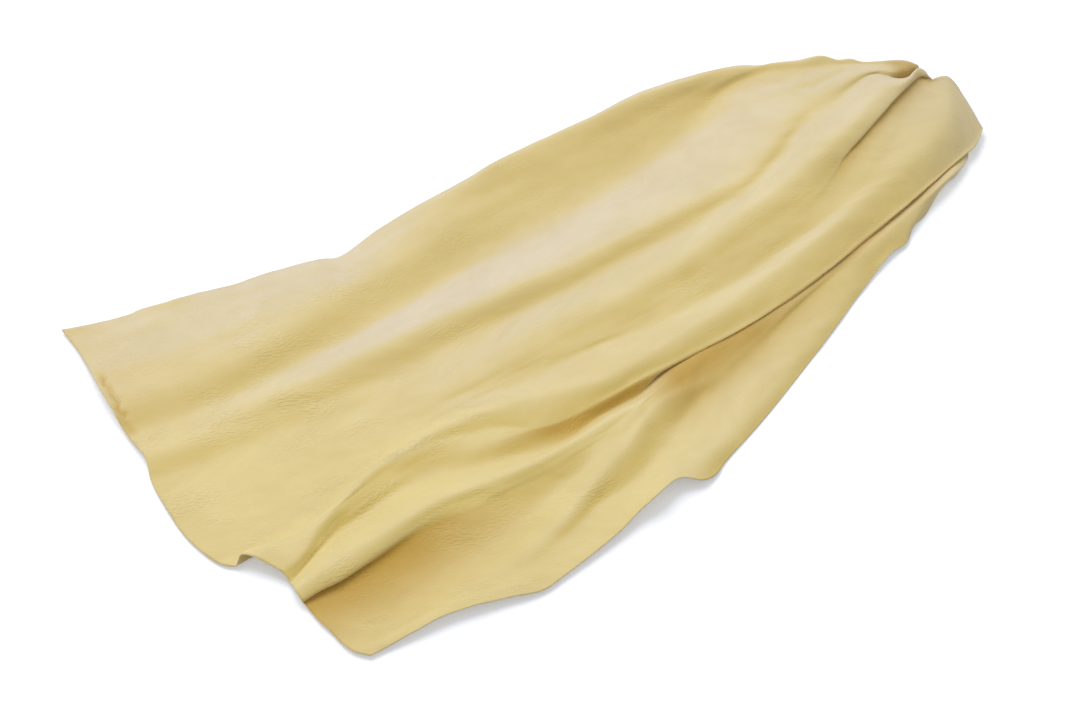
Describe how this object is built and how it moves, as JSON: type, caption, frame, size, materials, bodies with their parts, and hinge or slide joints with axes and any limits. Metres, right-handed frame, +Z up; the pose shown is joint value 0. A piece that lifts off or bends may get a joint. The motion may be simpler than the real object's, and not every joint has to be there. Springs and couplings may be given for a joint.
{
  "type": "chamois leather",
  "caption": "Limp chamois hide for drying and polishing, drawn into pleats at one end and lying fanned out at the other.",
  "frame": {"origin": "on the table under the middle of the hide's box", "axes": "+X along the hide towards the pleated end, +Y towards the back edge, +Z up from the table"},
  "size_m": [0.7604, 0.417, 0.0415],
  "materials": {
    "chamois": "pale yellow oil-tanned leather with a soft matte nap and a fine crepe grain"
  },
  "bodies": {
    "root": {"chamois_hide": "chamois"}
  },
  "joints": []
}
